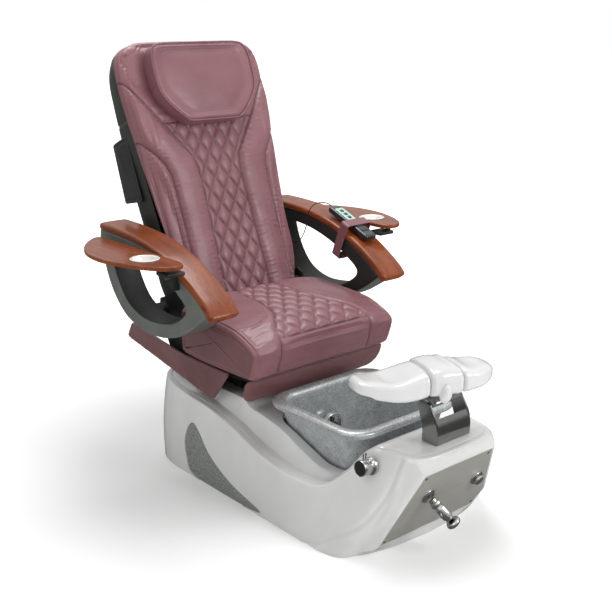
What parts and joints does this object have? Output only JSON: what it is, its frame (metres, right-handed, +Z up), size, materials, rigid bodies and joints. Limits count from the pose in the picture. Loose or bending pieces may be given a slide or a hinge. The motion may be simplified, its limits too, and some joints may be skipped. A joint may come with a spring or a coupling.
{
  "type": "pedicure spa chair",
  "caption": "Reclining massage seat on rails over a moulded base with a foot tub, tilting footrest, ring armrests with swing-out trays, hand sprayer and corded handset.",
  "frame": {"origin": "centre of the overall box, on the floor", "axes": "+Z up; the sitter faces -Y; the sitter's right is -X and left is +X"},
  "size_m": [1.2862, 1.6006, 1.542],
  "materials": {
    "shell_white": "gloss",
    "footrest_white": "gloss",
    "stone": "speckled stone look, satin",
    "tub_silver": "silver marbled, gloss",
    "chrome": "polished",
    "panel_steel": "brushed",
    "rail_steel": "drawn",
    "frame_black": "satin black",
    "back_black": "fine grain",
    "pocket_black": "woven",
    "plastic_black": "matt",
    "remote_black": "gloss",
    "keypad": "gloss, pale green",
    "roller_rubber": "matt",
    "cord_rubber": "matt",
    "leather": "soft semi-gloss",
    "skirt_leather": "soft semi-gloss",
    "wood": "clear gloss lacquer",
    "arm_grey": "satin",
    "bowl_white": "gloss"
  },
  "bodies": {
    "base": {"base_shell": "shell_white", "base_pan": "plastic_black", "side_inlay_right": "stone", "side_inlay_left": "stone", "tub_basin": "tub_silver", "tub_drain_strainer": "chrome", "drain_pipe": "plastic_black", "jet_housing": "chrome", "jet_motor": "plastic_black", "front_access_panel": "panel_steel", "sprayer_flange": "chrome", "drain_knob_bezel": "chrome", "side_valve_body": "chrome", "footrest_bracket": "chrome", "seat_pedestal": "frame_black", "lower_rail_right": "rail_steel", "lower_rail_left": "rail_steel", "seat_slide_motor": "frame_black"},
    "jet_wheel": {"jet_impeller": "plastic_black"},
    "drain_dial": {"drain_knob": "chrome"},
    "valve_knob": {"side_valve_knob": "chrome"},
    "sprayer": {"sprayer_handle": "chrome", "sprayer_rose": "chrome"},
    "footrest_carrier": {"footrest_carrier": "chrome"},
    "footrest": {"footrest_pad_right": "footrest_white", "footrest_pad_left": "footrest_white", "footrest_bridge": "footrest_white"},
    "carriage": {"seat_frame": "frame_black", "seat_cushion": "leather", "front_skirt": "skirt_leather", "side_skirt_right": "skirt_leather", "side_skirt_left": "skirt_leather"},
    "back": {"back_cushion": "leather", "back_shell": "back_black", "headrest_pillow": "leather", "side_pocket": "pocket_black"},
    "trolley": {"massage_trolley": "frame_black"},
    "roller_right": {"massage_roller_right": "roller_rubber"},
    "roller_left": {"massage_roller_left": "roller_rubber"},
    "arm_right": {"arm_ring_right": "arm_grey", "arm_top_right": "wood", "tray_post_right": "frame_black"},
    "arm_left": {"arm_ring_left": "arm_grey", "arm_top_left": "wood", "tray_post_left": "frame_black", "remote_body": "remote_black", "remote_keypad": "keypad", "remote_strap": "skirt_leather", "remote_cord": "cord_rubber", "remote_plug": "plastic_black", "remote_socket": "plastic_black"},
    "tray_board_right": {"tray_right": "wood"},
    "tray_board_left": {"tray_left": "wood"},
    "bowl_right": {"bowl_insert_right": "bowl_white"},
    "bowl_left": {"bowl_insert_left": "bowl_white"},
    "button_1": {"remote_button_1": "remote_black"},
    "button_2": {"remote_button_2": "remote_black"},
    "button_3": {"remote_button_3": "remote_black"}
  },
  "joints": [
    {"name": "jet_spin", "type": "hinge", "parent": "base", "child": "jet_wheel", "pos_m": [0, -0.14201, 0.228], "axis": [0, 1, 0], "continuous": true},
    {"name": "drain_turn", "type": "hinge", "parent": "base", "child": "drain_dial", "pos_m": [0.152, -0.70256, 0.16929], "axis": [0, -0.9153, -0.4027], "range_deg": [-90, 90]},
    {"name": "valve_turn", "type": "hinge", "parent": "base", "child": "valve_knob", "pos_m": [-0.246, -0.59401, 0.3], "axis": [-0.9929, 0, 0.1191], "range_deg": [-90, 90]},
    {"name": "sprayer_pull", "type": "slide", "parent": "base", "child": "sprayer", "axis": [0.3791, -0.6185, -0.6883], "range_m": [0, 0.1]},
    {"name": "footrest_tilt", "type": "hinge", "parent": "base", "child": "footrest_carrier", "pos_m": [0.018, -0.64801, 0.47], "axis": [1, 0, 0], "range_deg": [-14, 14]},
    {"name": "footrest_swivel", "type": "hinge", "parent": "footrest_carrier", "child": "footrest", "pos_m": [0.018, -0.64801, 0.47], "axis": [0, 0, 1], "range_deg": [-20, 20]},
    {"name": "seat_slide", "type": "slide", "parent": "base", "child": "carriage", "axis": [0, 1, 0], "range_m": [0, 0.12]},
    {"name": "back_recline", "type": "hinge", "parent": "carriage", "child": "back", "pos_m": [0, 0.36999, 0.62], "axis": [-1, 0, 0], "range_deg": [-8, 22]},
    {"name": "massage_travel", "type": "slide", "parent": "back", "child": "trolley", "axis": [0, 0.3584, 0.9336], "range_m": [-0.12, 0.4]},
    {"name": "roller_spin_right", "type": "hinge", "parent": "trolley", "child": "roller_right", "pos_m": [-0.052, 0.54441, 0.89581], "axis": [1, 0, 0], "continuous": true},
    {"name": "roller_spin_left", "type": "hinge", "parent": "trolley", "child": "roller_left", "pos_m": [0.052, 0.54441, 0.89581], "axis": [1, 0, 0], "continuous": true},
    {"name": "arm_lift_right", "type": "hinge", "parent": "carriage", "child": "arm_right", "pos_m": [-0.397, 0.45499, 0.585], "axis": [-1, 0, 0], "range_deg": [0, 50]},
    {"name": "arm_lift_left", "type": "hinge", "parent": "carriage", "child": "arm_left", "pos_m": [0.397, 0.45499, 0.585], "axis": [-1, 0, 0], "range_deg": [0, 50]},
    {"name": "tray_swing_right", "type": "hinge", "parent": "arm_right", "child": "tray_board_right", "pos_m": [-0.512, 0.08799, 0.855], "axis": [0, 0, 1], "range_deg": [0, 90]},
    {"name": "tray_swing_left", "type": "hinge", "parent": "arm_left", "child": "tray_board_left", "pos_m": [0.512, 0.08799, 0.855], "axis": [0, 0, -1], "range_deg": [0, 90]},
    {"name": "bowl_lift_right", "type": "slide", "parent": "tray_board_right", "child": "bowl_right", "axis": [0, 0, 1], "range_m": [0, 0.05]},
    {"name": "bowl_lift_left", "type": "slide", "parent": "tray_board_left", "child": "bowl_left", "axis": [0, 0, 1], "range_m": [0, 0.05]},
    {"name": "button_press_1", "type": "slide", "parent": "arm_left", "child": "button_1", "axis": [0, 0.3714, -0.9285], "range_m": [0, 0.0015], "stiffness_N_per_m": 600},
    {"name": "button_press_2", "type": "slide", "parent": "arm_left", "child": "button_2", "axis": [0, 0.3714, -0.9285], "range_m": [0, 0.0015], "stiffness_N_per_m": 600},
    {"name": "button_press_3", "type": "slide", "parent": "arm_left", "child": "button_3", "axis": [0, 0.3714, -0.9285], "range_m": [0, 0.0015], "stiffness_N_per_m": 600}
  ]
}
